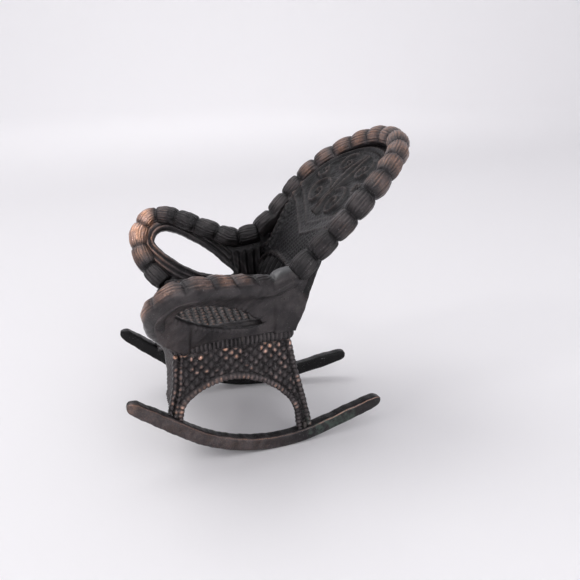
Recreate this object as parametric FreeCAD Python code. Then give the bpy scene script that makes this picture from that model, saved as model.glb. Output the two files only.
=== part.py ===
import FreeCAD, Part
import math
import os

# Miniature die-cast rocking chair in the Victorian wicker style.
# Millimetres, +Z up, the chair faces -Y, +X is the sitter's left, and X = 0 is the plane of symmetry.
# The shapes are drawn with Y = 0 where the rockers touch the floor. The last step moves every piece
# along Y so that the origin lies on the floor, under the middle of the chair's overall depth.

V = FreeCAD.Vector
os.makedirs("parts", exist_ok=True)

# Frame
CENTRE_SHIFT = 0.06          # moves the drawing so that the origin is under the middle of the depth

# Rockers
ROCKER_RADIUS = 46.0         # underside of the curved middle
ROCKER_HEIGHT = 3.85
ROCKER_WIDTH = 3.4
ROCKER_FRONT_DEG = -36.5     # the curve ends here and a straight end carries on
ROCKER_REAR_DEG = 15.0
ROCKER_FRONT_Y = -41.6
ROCKER_REAR_Y = 30.3
ROCKER_TOE_DEG = 6.88        # the rockers close in towards the rear
ROCKER_X = 19.1              # middle of the rocker where it touches the floor
ROCKER_SOFTENING = 0.6
ROCKER_FLAT_HALF = 3.0       # each rocker is worn flat where it rests, this far before and behind

# Skirted stand under the seat
STAND_TOP = 31.8
SKIRT_THICKNESS = 1.7
FRONT_SKIRT_THICKNESS = 1.3
REAR_SKIRT_THICKNESS = 2.6
SIDE_X_FRONT_TOP = 22.4      # outer face of a side skirt at its front top corner
SIDE_LEAN_Y = -0.11          # how the outer face closes in towards the rear
SIDE_LEAN_Z = -0.03          # and towards the top
SIDE_FRONT_EDGE = [(-27.9, STAND_TOP), (-28.3, 26.0), (-29.3, 20.0), (-31.2, 14.0)]
SIDE_REAR_EDGE = [(8.9, 3.2), (7.6, 11.0), (5.6, 19.5), (3.0, STAND_TOP)]
SIDE_ARCH = [(-27.0, 12.0), (-24.4, 18.7), (-15.0, 22.4), (-5.4, 20.2), (2.6, 12.8), (4.6, 2.8)]
FRONT_ARCH = [(-17.5, 8.0), (-13.0, 18.5), (0.0, 22.0), (13.0, 18.5), (17.5, 8.0)]
REAR_ARCH = [(-14.5, 2.0), (-11.0, 15.5), (0.0, 20.0), (11.0, 15.5), (14.5, 2.0)]

# Seat casting
HEM_BOTTOM = STAND_TOP
HEM_TOP = 34.7
HEM_FRONT_Y = -28.6
HEM_REAR_Y = 4.2
HEM_HALF_FRONT = 23.0
HEM_HALF_REAR = 20.6
HEM_CORNER = 3.0
SEAT_TOP = 37.6
SEAT_INSET = 2.6             # from the hem's face to the raised seat
RECESS_DEPTH = 4.4           # hollow under the seat
RECESS_INSET = 4.3

# Arms
ARM_THICKNESS = 1.6
ARM_BASE_X = 21.9            # middle of the arm's wall where it stands on the hem
# How far the wall leans out for each millimetre of height, at stations along Y
ARM_FLARE = [(-37.0, 0.88), (-29.0, 0.86), (-21.4, 0.76), (-14.7, 0.58), (-8.8, 0.40),
             (-3.3, 0.24), (2.0, 0.16), (8.0, 0.12)]
# Middle of the rolled edge, seen from the side, from the back joint round to the front corner
ARM_EDGE = [(3.6, 49.9), (-3.3, 48.3), (-8.8, 49.7), (-14.7, 51.5), (-21.3, 53.4), (-27.6, 53.2),
            (-31.8, 48.9), (-31.8, 43.6), (-29.4, 39.2), (-25.6, 35.6)]
ARM_OPENING = [(-27.2, 46.3), (-24.8, 49.3), (-20.0, 48.7), (-12.3, 44.7), (-7.2, 40.2),
               (-4.6, 37.5), (-8.6, 37.0), (-15.6, 38.4), (-22.2, 41.8)]
ARM_REAR_EDGE = [(3.9, HEM_TOP), (7.0, 42.6), (8.4, 49.0)]     # where the arm meets the back
ARM_BEADS = 9

# Back
BACK_THICKNESS = 2.6
BACK_STATIONS = 8            # points that set the curve of each face
# Middle of the back's edges, seen from the side
BACK_PROFILE = [(2.9, 34.2), (4.6, 40.0), (7.6, 48.0), (11.0, 55.0), (16.5, 62.0), (22.3, 67.6),
                (29.0, 72.9), (38.6, 79.0)]
# Middle of the rolled rim from the left arm joint up to the top: X, Y, Z
BACK_RIM = [(22.7, 3.6, 49.9), (21.9, 8.0, 53.9), (22.6, 12.0, 58.0), (23.4, 16.5, 62.7),
            (22.6, 21.8, 68.0), (19.4, 28.0, 72.8), (13.4, 33.6, 76.6), (6.6, 36.7, 78.7)]
BACK_RIM_TOP = (0.0, 37.5, 79.2)
BACK_BEADS = 17

# Rolled edge
ROLL_VALLEY_R = 2.6
ROLL_BEAD_R = 3.25
NOTCH_BALL_R = 2.7           # a little over the notch, so that the beads overlap cleanly

# Peened pins that hold the castings together
PIN_R = 0.6
PIN_HALF_LENGTH = 1.5
FRONT_FOOT_PIN = (22.1, -28.3, 15.0)     # X, Y and the height of the joint that the pin crosses
REAR_FOOT_PIN = (18.8, 6.6, 4.5)
STAND_PINS = [(20.9, -23.0), (18.5, -1.5)]
ARM_PINS = [(21.7, -22.0), (20.8, -10.0)]
BACK_PINS = [(12.0, 3.0)]


def spline(points):
    curve = Part.BSplineCurve()
    curve.interpolate(points)
    return curve


def side_points(pairs, x=0.0):
    """Turn (y, z) pairs into points on a plane across X."""
    return [V(x, y, z) for y, z in pairs]


def prism_x(wire_edges, x_low, x_high):
    face = Part.Face(Part.Wire(wire_edges))
    face.translate(V(x_low, 0, 0))
    return face.extrude(V(x_high - x_low, 0, 0))


def line(a, b):
    return Part.LineSegment(a, b).toShape()


def biggest_solid(shape):
    """Booleans return a compound; the piece is its largest solid."""
    return max(shape.Solids, key=lambda s: s.Volume)


def mirrored(shape):
    return shape.mirror(V(0, 0, 0), V(1, 0, 0))


def bead(start, stop):
    """One puffed segment of a rolled edge, between two notches."""
    run = stop - start
    foot, head = V(0, 0, 0), V(0, 0, run.Length)
    low = V(ROLL_VALLEY_R, 0, 0)
    middle = V(ROLL_BEAD_R, 0, run.Length / 2)
    high = V(ROLL_VALLEY_R, 0, run.Length)
    edges = [line(foot, low), Part.Arc(low, middle, high).toShape(), line(high, head), line(head, foot)]
    solid = Part.Face(Part.Wire(edges)).revolve(foot, V(0, 0, 1), 360)
    solid.Placement = FreeCAD.Placement(start, FreeCAD.Rotation(V(0, 0, 1), run))
    return solid


def bead_chain(path, beads):
    """The beads of a rolled edge, with a ball in each notch that fills the bend."""
    first = path.FirstParameter
    total = path.length(first, path.LastParameter)
    notches = [path.value(path.parameterAtDistance(total * i / beads, first)) for i in range(beads + 1)]
    shapes = [bead(a, b) for a, b in zip(notches, notches[1:])]
    return shapes + [Part.makeSphere(NOTCH_BALL_R, p) for p in notches[1:-1]]


# ---------------------------------------------------------------- rockers

def rocker_point(radius, degrees, run=0.0):
    """A point on the rocker's curve, or `run` past it along the tangent."""
    a = math.radians(degrees)
    return V(0, radius * math.sin(a) + run * math.cos(a),
             ROCKER_RADIUS - radius * math.cos(a) + run * math.sin(a))


def rocker_flat_height():
    """How far the worn flat lies above the lowest point of the full curve."""
    return ROCKER_RADIUS - math.sqrt(ROCKER_RADIUS ** 2 - ROCKER_FLAT_HALF ** 2)


def make_rocker():
    top_radius = ROCKER_RADIUS - ROCKER_HEIGHT
    cap = ROCKER_HEIGHT / 2
    a_front = math.radians(ROCKER_FRONT_DEG)
    a_rear = math.radians(ROCKER_REAR_DEG)
    front_run = (ROCKER_FRONT_Y - ROCKER_RADIUS * math.sin(a_front)) / math.cos(a_front) + cap
    rear_run = (ROCKER_REAR_Y - ROCKER_RADIUS * math.sin(a_rear)) / math.cos(a_rear) - cap

    def end(radius, degrees, run):
        return rocker_point(radius, degrees, run)

    bottom_front = end(ROCKER_RADIUS, ROCKER_FRONT_DEG, front_run)
    bottom_start = end(ROCKER_RADIUS, ROCKER_FRONT_DEG, 0)
    flat_front = V(0, -ROCKER_FLAT_HALF, rocker_flat_height())
    flat_rear = V(0, ROCKER_FLAT_HALF, rocker_flat_height())
    bottom_stop = end(ROCKER_RADIUS, ROCKER_REAR_DEG, 0)
    bottom_rear = end(ROCKER_RADIUS, ROCKER_REAR_DEG, rear_run)
    middle_radius = ROCKER_RADIUS - cap
    rear_tip = end(middle_radius, ROCKER_REAR_DEG, rear_run + cap)
    front_tip = end(middle_radius, ROCKER_FRONT_DEG, front_run - cap)
    top_rear = end(top_radius, ROCKER_REAR_DEG, rear_run)
    top_stop = end(top_radius, ROCKER_REAR_DEG, 0)
    top_mid = end(top_radius, 0, 0)
    top_start = end(top_radius, ROCKER_FRONT_DEG, 0)
    top_front = end(top_radius, ROCKER_FRONT_DEG, front_run)
    edges = [
        line(bottom_front, bottom_start),
        Part.Arc(bottom_start, end(ROCKER_RADIUS, ROCKER_FRONT_DEG / 2, 0), flat_front).toShape(),
        line(flat_front, flat_rear),
        Part.Arc(flat_rear, end(ROCKER_RADIUS, ROCKER_REAR_DEG / 2, 0), bottom_stop).toShape(),
        line(bottom_stop, bottom_rear),
        Part.Arc(bottom_rear, rear_tip, top_rear).toShape(),
        line(top_rear, top_stop),
        Part.Arc(top_stop, top_mid, top_start).toShape(),
        line(top_start, top_front),
        Part.Arc(top_front, front_tip, bottom_front).toShape(),
    ]
    bar = prism_x(edges, -ROCKER_WIDTH / 2, ROCKER_WIDTH / 2)
    long_edges = [e for e in bar.Edges if e.BoundBox.XLength < 1e-6]
    bar = bar.makeFillet(ROCKER_SOFTENING, long_edges)
    bar.rotate(V(0, 0, 0), V(0, 0, 1), ROCKER_TOE_DEG)
    bar.translate(V(ROCKER_X, 0, 0))
    return biggest_solid(bar)


# ---------------------------------------------------------------- stand

def side_x(y, z):
    """Outer face of the left side skirt."""
    front_top_y = SIDE_FRONT_EDGE[0][0]
    return SIDE_X_FRONT_TOP + SIDE_LEAN_Y * (y - front_top_y) + SIDE_LEAN_Z * (z - STAND_TOP)


def side_slab(outer, inner):
    """The space between two planes that both follow the side skirt's lean, `outer` and `inner`
    millimetres from its outer face."""
    y0, y1, z0, z1 = -45.0, 25.0, -5.0, 45.0
    corners = [(y0, z0), (y1, z0), (y1, z1), (y0, z1)]
    loops = []
    for offset in (outer, inner):
        points = [V(side_x(y, z) + offset, y, z) for y, z in corners]
        loops.append(Part.makePolygon(points + [points[0]]))
    return Part.makeLoft(loops, True, True)


def arch_side_edges(front, rear, arch):
    """Closed outline of a skirt panel: front edge, arch, rear edge and straight top."""
    f = side_points(front)
    r = side_points(rear)
    a = side_points(arch)
    return [spline(f).toShape(), line(f[-1], a[0]), spline(a).toShape(), line(a[-1], r[0]),
            spline(r).toShape(), line(r[-1], f[0])]


def make_side_skirt(rocker):
    outline = arch_side_edges(SIDE_FRONT_EDGE, SIDE_REAR_EDGE, SIDE_ARCH)
    panel = prism_x(outline, 5, 35).common(side_slab(0, -SKIRT_THICKNESS))
    return biggest_solid(panel.cut(rocker))


def make_end_skirt(side_edge, arch, inward):
    """Front or rear skirt: a curved plate that follows the side skirts' edge, with an arch.
    `inward` is its thickness along Y, positive towards the rear."""
    outer = side_points(side_edge)
    inner = [p + V(0, inward, 0) for p in outer]
    edges = [spline(outer).toShape(), line(outer[-1], inner[-1]),
             spline(inner).toShape(), line(inner[0], outer[0])]
    plate = prism_x(edges, -30, 30)
    between = side_slab(-SKIRT_THICKNESS, -90)
    plate = plate.common(between).common(mirrored(between))
    arch_curve = spline([V(x, -60, z) for x, z in arch])
    low_right = V(arch[-1][0], -60, -10)
    low_left = V(arch[0][0], -60, -10)
    arch_wire = Part.Wire([arch_curve.toShape(), line(V(arch[-1][0], -60, arch[-1][1]), low_right),
                           line(low_right, low_left),
                           line(low_left, V(arch[0][0], -60, arch[0][1]))])
    return plate.cut(Part.Face(arch_wire).extrude(V(0, 120, 0)))


# ---------------------------------------------------------------- seat

def seat_outline(inset, z):
    """Tapered rounded plan of the seat, `inset` inside the hem's face."""
    front_half = HEM_HALF_FRONT - inset
    rear_half = HEM_HALF_REAR - inset
    y_front = HEM_FRONT_Y + inset
    y_rear = HEM_REAR_Y - inset
    points = [V(-front_half, y_front, z), V(front_half, y_front, z),
              V(rear_half, y_rear, z), V(-rear_half, y_rear, z)]
    return Part.Face(Part.makePolygon(points + [points[0]]))


def rounded_plate(inset, z, height, corner):
    plate = seat_outline(inset, z).extrude(V(0, 0, height))
    uprights = [e for e in plate.Edges if e.BoundBox.ZLength > height * 0.9]
    return plate.makeFillet(corner, uprights)


def make_seat():
    hem = rounded_plate(0, HEM_BOTTOM, HEM_TOP - HEM_BOTTOM, HEM_CORNER)
    raised = rounded_plate(SEAT_INSET, HEM_TOP - 0.2, SEAT_TOP - HEM_TOP + 0.2, 2.0)
    seat = hem.fuse(raised)
    recess = rounded_plate(RECESS_INSET, HEM_BOTTOM - 1.0, 1.0 + RECESS_DEPTH, 2.0)
    return biggest_solid(seat.cut(recess).removeSplitter())


# ---------------------------------------------------------------- back

def back_slab():
    """The back's panel before it is cut to its outline: a curved plate, straight across."""
    mid = spline(side_points(BACK_PROFILE))
    front, behind = [], []
    first, last = mid.FirstParameter, mid.LastParameter
    for i in range(BACK_STATIONS + 1):
        u = first + (last - first) * i / BACK_STATIONS
        rearward = V(*mid.tangent(u)[0]).cross(V(1, 0, 0))
        front.append(mid.value(u) - rearward * (BACK_THICKNESS / 2))
        behind.append(mid.value(u) + rearward * (BACK_THICKNESS / 2))
    edges = [spline(front).toShape(), line(front[-1], behind[-1]),
             spline(behind).toShape(), line(behind[0], front[0])]
    return prism_x(edges, -30, 30)


def rim_path():
    left = [V(*p) for p in BACK_RIM]
    right = [V(-p.x, p.y, p.z) for p in reversed(left)]
    return spline(left + [V(*BACK_RIM_TOP)] + right)


def make_back(seat):
    slab = back_slab()
    foot_half = HEM_HALF_REAR - 0.4
    rim_points = [V(p[0], 0, p[2]) for p in BACK_RIM]
    top_points = rim_points + [V(0, 0, BACK_RIM_TOP[2])]
    top_points += [V(-p.x, 0, p.z) for p in reversed(rim_points)]
    low_left = V(foot_half, 0, HEM_TOP)
    low_right = V(-foot_half, 0, HEM_TOP)
    outline = Part.Wire([spline(top_points).toShape(), line(top_points[-1], low_right),
                         line(low_right, low_left), line(low_left, top_points[0])])
    face = Part.Face(outline)
    face.translate(V(0, -10, 0))
    panel = slab.common(face.extrude(V(0, 70, 0)))
    back = biggest_solid(panel).fuse(bead_chain(rim_path(), BACK_BEADS))
    return biggest_solid(back.cut(seat))


# ---------------------------------------------------------------- arms

def flare_at(y):
    for (y0, f0), (y1, f1) in zip(ARM_FLARE, ARM_FLARE[1:]):
        if y <= y1:
            return f0 + (f1 - f0) * (y - y0) / (y1 - y0)
    return ARM_FLARE[-1][1]


def arm_base_x(y):
    taper = (HEM_HALF_REAR - HEM_HALF_FRONT) / (HEM_REAR_Y - HEM_FRONT_Y)
    return ARM_BASE_X + taper * (y - HEM_FRONT_Y)


def arm_x(y, z):
    """Middle of the arm's leaning wall."""
    return arm_base_x(y) + (z - HEM_TOP) * flare_at(y)


def arm_station(y):
    """Slanted section of the arm's wall at one Y."""
    z_low, z_high = HEM_TOP, 60.0
    low, high = arm_x(y, z_low), arm_x(y, z_high)
    half = ARM_THICKNESS / 2 * math.sqrt(1 + flare_at(y) ** 2)
    points = [V(low - half, y, z_low), V(low + half, y, z_low),
              V(high + half, y, z_high), V(high - half, y, z_high)]
    return Part.makePolygon(points + [points[0]])


def arm_opening_tool():
    points = side_points(ARM_OPENING)
    loop = Part.BSplineCurve()
    loop.interpolate(Points=points, PeriodicFlag=True)
    face = Part.Face(Part.Wire(loop.toShape()))
    face.translate(V(10, 0, 0))
    return face.extrude(V(40, 0, 0))


def make_arm(seat, back):
    wall = Part.makeLoft([arm_station(y) for y, _ in ARM_FLARE], True, True)
    edge = side_points(ARM_EDGE)
    rear = side_points(ARM_REAR_EDGE)
    front_low = V(0, edge[-1].y, HEM_TOP)
    outline = [spline(edge).toShape(), line(edge[-1], front_low), line(front_low, rear[0]),
               spline(rear).toShape(), line(rear[-1], edge[0])]
    wall = wall.common(prism_x(outline, 10, 50)).cut(arm_opening_tool())
    path = spline([V(arm_x(y, z), y, z) for y, z in ARM_EDGE])
    arm = biggest_solid(wall).fuse(bead_chain(path, ARM_BEADS))
    under = Part.makeBox(80, 80, 40, V(-40, -60, HEM_TOP - 40))
    return biggest_solid(arm.cut(under).cut(seat).cut(back))


# ---------------------------------------------------------------- pins

def upright_pin(x, y, z):
    return Part.makeCylinder(PIN_R, 2 * PIN_HALF_LENGTH, V(x, y, z - PIN_HALF_LENGTH))


def both_sides(shapes):
    return Part.makeCompound(shapes + [mirrored(s) for s in shapes])


def foot_pins():
    """One pin through each foot of the stand into the rocker under it."""
    front = upright_pin(*FRONT_FOOT_PIN)
    rear = upright_pin(*REAR_FOOT_PIN)
    return both_sides([front, rear])


def pin_row(places, z):
    return both_sides([upright_pin(x, y, z) for x, y in places])


def build():
    rocker = make_rocker()
    side = make_side_skirt(rocker)
    front = make_end_skirt(SIDE_FRONT_EDGE, FRONT_ARCH, FRONT_SKIRT_THICKNESS)
    rear = make_end_skirt(SIDE_REAR_EDGE, REAR_ARCH, -REAR_SKIRT_THICKNESS)
    both_rockers = rocker.fuse(mirrored(rocker))
    front = biggest_solid(front.cut(both_rockers))
    rear = biggest_solid(rear.cut(both_rockers))
    seat = make_seat()
    back = make_back(seat)
    arm = make_arm(seat, back)

    pins = {
        "rocker_pins": foot_pins(),
        "stand_pins": pin_row(STAND_PINS, STAND_TOP),
        "arm_pins": pin_row(ARM_PINS, HEM_TOP),
        "back_pins": pin_row(BACK_PINS, HEM_TOP),
    }
    drilled = [pins["rocker_pins"], pins["stand_pins"], pins["arm_pins"], pins["back_pins"]]

    def drill(shape):
        for group in drilled:
            shape = shape.cut(group)
        return biggest_solid(shape)

    rocker, side, arm = drill(rocker), drill(side), drill(arm)
    pieces = {
        "rocker_left": rocker,
        "rocker_right": mirrored(rocker),
        "stand_side_left": side,
        "stand_side_right": mirrored(side),
        "stand_front": front,
        "stand_rear": rear,
        "seat": drill(seat),
        "back": drill(back),
        "arm_left": arm,
        "arm_right": mirrored(arm),
    }
    pieces.update(pins)
    return pieces


def main():
    pieces = build()
    for shape in pieces.values():
        shape.translate(V(0, CENTRE_SHIFT, -rocker_flat_height()))
    solids = [solid for shape in pieces.values() for solid in shape.Solids]
    volume = sum(s.Volume for s in solids)
    moment = sum(s.Volume * s.CenterOfMass.y for s in solids)
    height = sum(s.Volume * s.CenterOfMass.z for s in solids)
    print("centre of mass ahead of or behind the floor contact:", round(moment / volume - CENTRE_SHIFT, 3))
    print("height of the centre of mass:", round(height / volume, 2), "volume:", round(volume))
    whole = Part.makeCompound(list(pieces.values()))
    box = whole.optimalBoundingBox(False)
    print("box X", round(box.XMin, 2), round(box.XMax, 2), "Y", round(box.YMin, 2), round(box.YMax, 2),
          "Z", round(box.ZMin, 2), round(box.ZMax, 2))
    for name, shape in pieces.items():
        print(name, "solids", len(shape.Solids), "valid", shape.isValid(), "volume", round(shape.Volume, 1))
        shape.exportStep("parts/" + name + ".step")


main()
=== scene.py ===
import math

import bmesh
import bpy
import numpy as np
from mathutils import Matrix, Vector


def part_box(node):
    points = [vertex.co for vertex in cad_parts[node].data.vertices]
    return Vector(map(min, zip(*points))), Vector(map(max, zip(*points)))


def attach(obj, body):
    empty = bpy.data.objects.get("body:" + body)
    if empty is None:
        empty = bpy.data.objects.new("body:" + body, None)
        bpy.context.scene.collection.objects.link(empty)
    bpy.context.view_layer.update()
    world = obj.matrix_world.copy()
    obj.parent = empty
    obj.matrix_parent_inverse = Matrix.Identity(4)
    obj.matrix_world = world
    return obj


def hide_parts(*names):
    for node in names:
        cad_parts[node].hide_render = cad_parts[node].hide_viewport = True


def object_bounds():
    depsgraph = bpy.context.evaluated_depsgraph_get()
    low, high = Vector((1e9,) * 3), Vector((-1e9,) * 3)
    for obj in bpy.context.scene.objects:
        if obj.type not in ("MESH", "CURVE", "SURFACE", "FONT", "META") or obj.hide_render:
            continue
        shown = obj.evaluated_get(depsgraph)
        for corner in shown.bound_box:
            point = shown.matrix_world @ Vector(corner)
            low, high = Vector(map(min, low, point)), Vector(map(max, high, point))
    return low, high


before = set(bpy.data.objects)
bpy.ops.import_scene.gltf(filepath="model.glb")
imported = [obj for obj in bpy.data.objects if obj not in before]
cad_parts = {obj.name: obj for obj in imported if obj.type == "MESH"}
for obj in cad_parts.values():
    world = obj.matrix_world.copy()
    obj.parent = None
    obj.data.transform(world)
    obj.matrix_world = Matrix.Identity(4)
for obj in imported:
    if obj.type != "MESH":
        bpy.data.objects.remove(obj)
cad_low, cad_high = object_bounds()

# Visual model of the miniature wicker-style rocking chair, cast in metal.
# Shapes are worked out in millimetres and written in metres. +Z is up, the chair faces -Y,
# and +X is the sitter's left. The left half is the one nearer the camera.

MM = 0.001
BODY = "root"
SEAT_LOW = np.array(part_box("seat")[0]) / MM

# The shapes below are drawn with Y = 0 at the floor contact. The seat's place in the frame gives
# the shift from the drawing to the frame.
HEM_FRONT_Y = -28.6
HEM_BOTTOM = 31.8
HEM_TOP = 34.7
HEM_REAR_Y = 4.2
HEM_HALF_FRONT = 23.0
HEM_HALF_REAR = 20.6
HEM_CORNER = 3.0
SEAT_TOP = 37.6
SEAT_INSET = 2.6                    # from the hem's face to the raised seat
SEAT_CORNER = 2.0
RECESS_DEPTH = 4.4                  # hollow under the seat
RECESS_INSET = 4.3
FRAME_SHIFT = np.array([0.0, SEAT_LOW[1] - HEM_FRONT_Y, SEAT_LOW[2] - HEM_BOTTOM])
FLOOR_Z = -FRAME_SHIFT[2]

WAVINESS = 0.06                     # unevenness of the cast surfaces

# Rolled edges
ROLL_VALLEY_R = 2.3
ROLL_BEAD_R = 3.04
ROLL_INSET = 0.25                   # the beads' middle lies this far inside the drawn line
ARM_ROLL_TUCK = 0.22                # and an arm's roll this much nearer to the middle of the chair
ROLL_SMOOTH_R = 2.95                # where the roll runs plain on its outer side

# Arms
ARM_HALF = 0.8                      # half of the wall
ARM_BASE_X = 21.9
ARM_FLARE = [(-37.0, 0.88), (-29.0, 0.86), (-21.4, 0.76), (-14.7, 0.58), (-8.8, 0.40),
             (-3.3, 0.24), (2.0, 0.16), (8.0, 0.12)]
ARM_EDGE = [(3.6, 49.9), (-3.3, 48.3), (-8.8, 49.7), (-14.7, 51.5), (-21.3, 53.4), (-27.6, 53.2),
            (-31.8, 48.9), (-31.8, 43.6), (-29.4, 39.2), (-25.6, 35.6)]
ARM_OPENING = [(-27.2, 46.3), (-24.8, 49.3), (-20.0, 48.7), (-12.3, 44.7), (-7.2, 40.2),
               (-4.6, 37.5), (-8.6, 37.0), (-15.6, 38.4), (-22.2, 41.8)]
ARM_BEADS = 9
ARM_REAR_EDGE = [(3.9, HEM_TOP), (7.0, 42.6), (8.4, 49.0)]

# Back
BACK_HALF = 1.1                     # half of the wall, under the relief
BACK_PROFILE = [(2.9, 34.2), (4.6, 40.0), (7.6, 48.0), (11.0, 55.0), (16.5, 62.0), (22.3, 67.6),
                (29.0, 72.9), (38.6, 79.0)]
BACK_RIM = [(22.7, 3.6, 49.9), (21.9, 8.0, 53.9), (22.6, 12.0, 58.0), (23.4, 16.5, 62.7),
            (22.6, 21.8, 68.0), (19.4, 28.0, 72.8), (13.4, 33.6, 76.6), (6.6, 36.7, 78.7)]
BACK_RIM_TOP = (0.0, 37.5, 79.2)
BACK_BEADS = 17

# Stand
SKIRT_THICKNESS = 1.7               # the two side skirts
FRONT_SKIRT_THICKNESS = 1.3
REAR_SKIRT_THICKNESS = 2.6
SIDE_X_FRONT_TOP = 22.4
SIDE_LEAN_Y = -0.11
SIDE_LEAN_Z = -0.03
SIDE_FRONT_EDGE = [(-27.9, HEM_BOTTOM), (-28.3, 26.0), (-29.3, 20.0), (-31.2, 14.0)]
SIDE_REAR_EDGE = [(8.9, 3.2), (7.6, 11.0), (5.6, 19.5), (3.0, HEM_BOTTOM)]
SIDE_ARCH = [(-27.0, 12.0), (-24.4, 18.7), (-15.0, 22.4), (-5.4, 20.2), (2.6, 12.8), (4.6, 2.8)]
FRONT_ARCH = [(-17.5, 8.0), (-13.0, 18.5), (0.0, 22.0), (13.0, 18.5), (17.5, 8.0)]
REAR_ARCH = [(-14.5, 2.0), (-11.0, 15.5), (0.0, 20.0), (11.0, 15.5), (14.5, 2.0)]

# Rockers
ROCKER_RADIUS = 46.0
ROCKER_TIP = 2.7                    # length over which a rocker's tip is rounded
ROCKER_TAPER = 9.0                  # and over which it thins a little
ROCKER_HEIGHT = 3.85
ROCKER_WIDTH = 3.4
ROCKER_FRONT_DEG = -36.5
ROCKER_REAR_DEG = 15.0
ROCKER_FRONT_Y = -41.6
ROCKER_REAR_Y = 30.3
ROCKER_TOE_DEG = 6.88
ROCKER_X = 19.1

# Weave and beads: the distance from one to the next
SIDE_WEAVE_PITCH = 1.85
EDGE_BEAD_PITCH = 1.5
ARCH_BEAD_PITCH = 1.25
HEM_FLUTE_PITCH = 1.12
CANE_PITCH = (2.1, 1.75)
BACK_WEAVE_PITCH = 1.7
FIBRE_PITCH = 1.05

# Camera
CAMERA_AZIMUTH_DEG = 76.05          # from the front round to the sitter's left
CAMERA_ELEVATION_DEG = 19.94
CAMERA_TILT_DEG = -1.14
CAMERA_DISTANCE = 201.8
CAMERA_AIM_HEIGHT = 30.0
CAMERA_SLIDE_RIGHT = 7.61
CAMERA_SLIDE_UP = 7.92
CAMERA_LENS = 43.83
CAMERA_SENSOR = 36.0


# ---------------------------------------------------------------- lines and distances

def smooth_line(points, count, closed=False):
    """Evenly spaced points on a smooth curve through the given points."""
    p = np.array(points, float)
    if closed:
        p = np.vstack([p[-1:], p, p[:2]])
    else:
        p = np.vstack([2 * p[0] - p[1], p, 2 * p[-1] - p[-2]])
    fine = []
    for i in range(1, len(p) - 2):
        t = np.linspace(0, 1, 40, endpoint=False)[:, None]
        a, b, c, d = p[i - 1], p[i], p[i + 1], p[i + 2]
        fine.append(0.5 * ((2 * b) + (c - a) * t + (2 * a - 5 * b + 4 * c - d) * t ** 2
                           + (3 * b - a - 3 * c + d) * t ** 3))
    fine = np.vstack(fine + [p[-2:-1]])
    return resample(fine, count)


def run_along(line):
    """How far along the line each of its points is."""
    return np.concatenate([[0], np.cumsum(np.linalg.norm(np.diff(line, axis=0), axis=1))])


def resample(line, count):
    run = run_along(line)
    at = np.linspace(0, run[-1], count)
    return np.stack([np.interp(at, run, line[:, k]) for k in range(line.shape[1])], 1)


def line_length(line):
    return float(np.linalg.norm(np.diff(line, axis=0), axis=1).sum())


def nearest_on(loop, points, closed=True):
    """For each point: distance to the line, the nearest point on it, and how far along that is."""
    a = loop if closed else loop[:-1]
    b = np.roll(loop, -1, axis=0) if closed else loop[1:]
    span = b - a
    length = np.linalg.norm(span, axis=1)
    start = np.concatenate([[0], np.cumsum(length)])[:-1]
    best = np.empty(len(points))
    foot = np.empty((len(points), 2))
    along = np.empty(len(points))
    for i in range(0, len(points), 4000):
        p = points[i:i + 4000, None, :]
        t = np.clip(((p - a) * span).sum(2) / np.maximum(length ** 2, 1e-12), 0, 1)
        q = a + t[..., None] * span
        dist = np.linalg.norm(p - q, axis=2)
        k = dist.argmin(1)
        rows = np.arange(len(k))
        best[i:i + 4000] = dist[rows, k]
        foot[i:i + 4000] = q[rows, k]
        along[i:i + 4000] = start[k] + t[rows, k] * length[k]
    return best, foot, along


def inside(loop, points):
    a, b = loop, np.roll(loop, -1, axis=0)
    result = np.zeros(len(points), bool)
    x, y = points[:, 0], points[:, 1]
    for (x0, y0), (x1, y1) in zip(a, b):
        if y0 == y1:
            continue
        cross = ((y0 > y) != (y1 > y)) & (x < (x1 - x0) * (y - y0) / (y1 - y0) + x0)
        result ^= cross
    return result


def ease(x, low, high):
    t = np.clip((x - low) / (high - low), 0, 1)
    return t * t * (3 - 2 * t)


def hash01(i, j, seed=0):
    """A repeatable value between 0 and 1 for each pair of whole numbers."""
    v = np.sin(i * 127.1 + j * 311.7 + seed * 74.7) * 43758.5453
    return v - np.floor(v)


# ---------------------------------------------------------------- meshes

def uneven(points):
    """The slight waviness of a cast and hand-finished surface, fading out at the floor."""
    waves = [((0.9, 0.5, -0.4), 0.3), ((-0.6, 0.8, 0.7), 1.9), ((0.3, -1.1, 0.9), 4.1)]
    shift = np.zeros_like(points)
    for k, (direction, phase) in enumerate(waves):
        along = points @ np.array(direction) + phase
        shift[:, k] += np.sin(along) + 0.6 * np.sin(2.3 * along + 1.0)
    return points + WAVINESS * shift * ease(points[:, 2], 1.0, 6.0)[:, None]


def make_object(name, verts, faces, wear, green=None, grey=None):
    mesh = bpy.data.meshes.new(name)
    placed = (uneven(np.asarray(verts, float)) + FRAME_SHIFT) * MM
    mesh.from_pydata(placed.tolist(), [], [tuple(f) for f in faces])
    for label, values in (("wear", wear), ("green", green), ("grey", grey)):
        attribute = mesh.attributes.new(label, "FLOAT", "POINT")
        data = np.zeros(len(verts)) if values is None else np.asarray(values, float)
        attribute.data.foreach_set("value", np.clip(data, 0, 1))
    shape = bmesh.new()
    shape.from_mesh(mesh)
    bmesh.ops.recalc_face_normals(shape, faces=shape.faces)
    shape.to_mesh(mesh)
    shape.free()
    mesh.polygons.foreach_set("use_smooth", [True] * len(mesh.polygons))
    piece = bpy.data.objects.new(name, mesh)
    bpy.context.collection.objects.link(piece)
    return piece


def mirror_points(points):
    return np.asarray(points) * np.array([-1, 1, 1])


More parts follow.
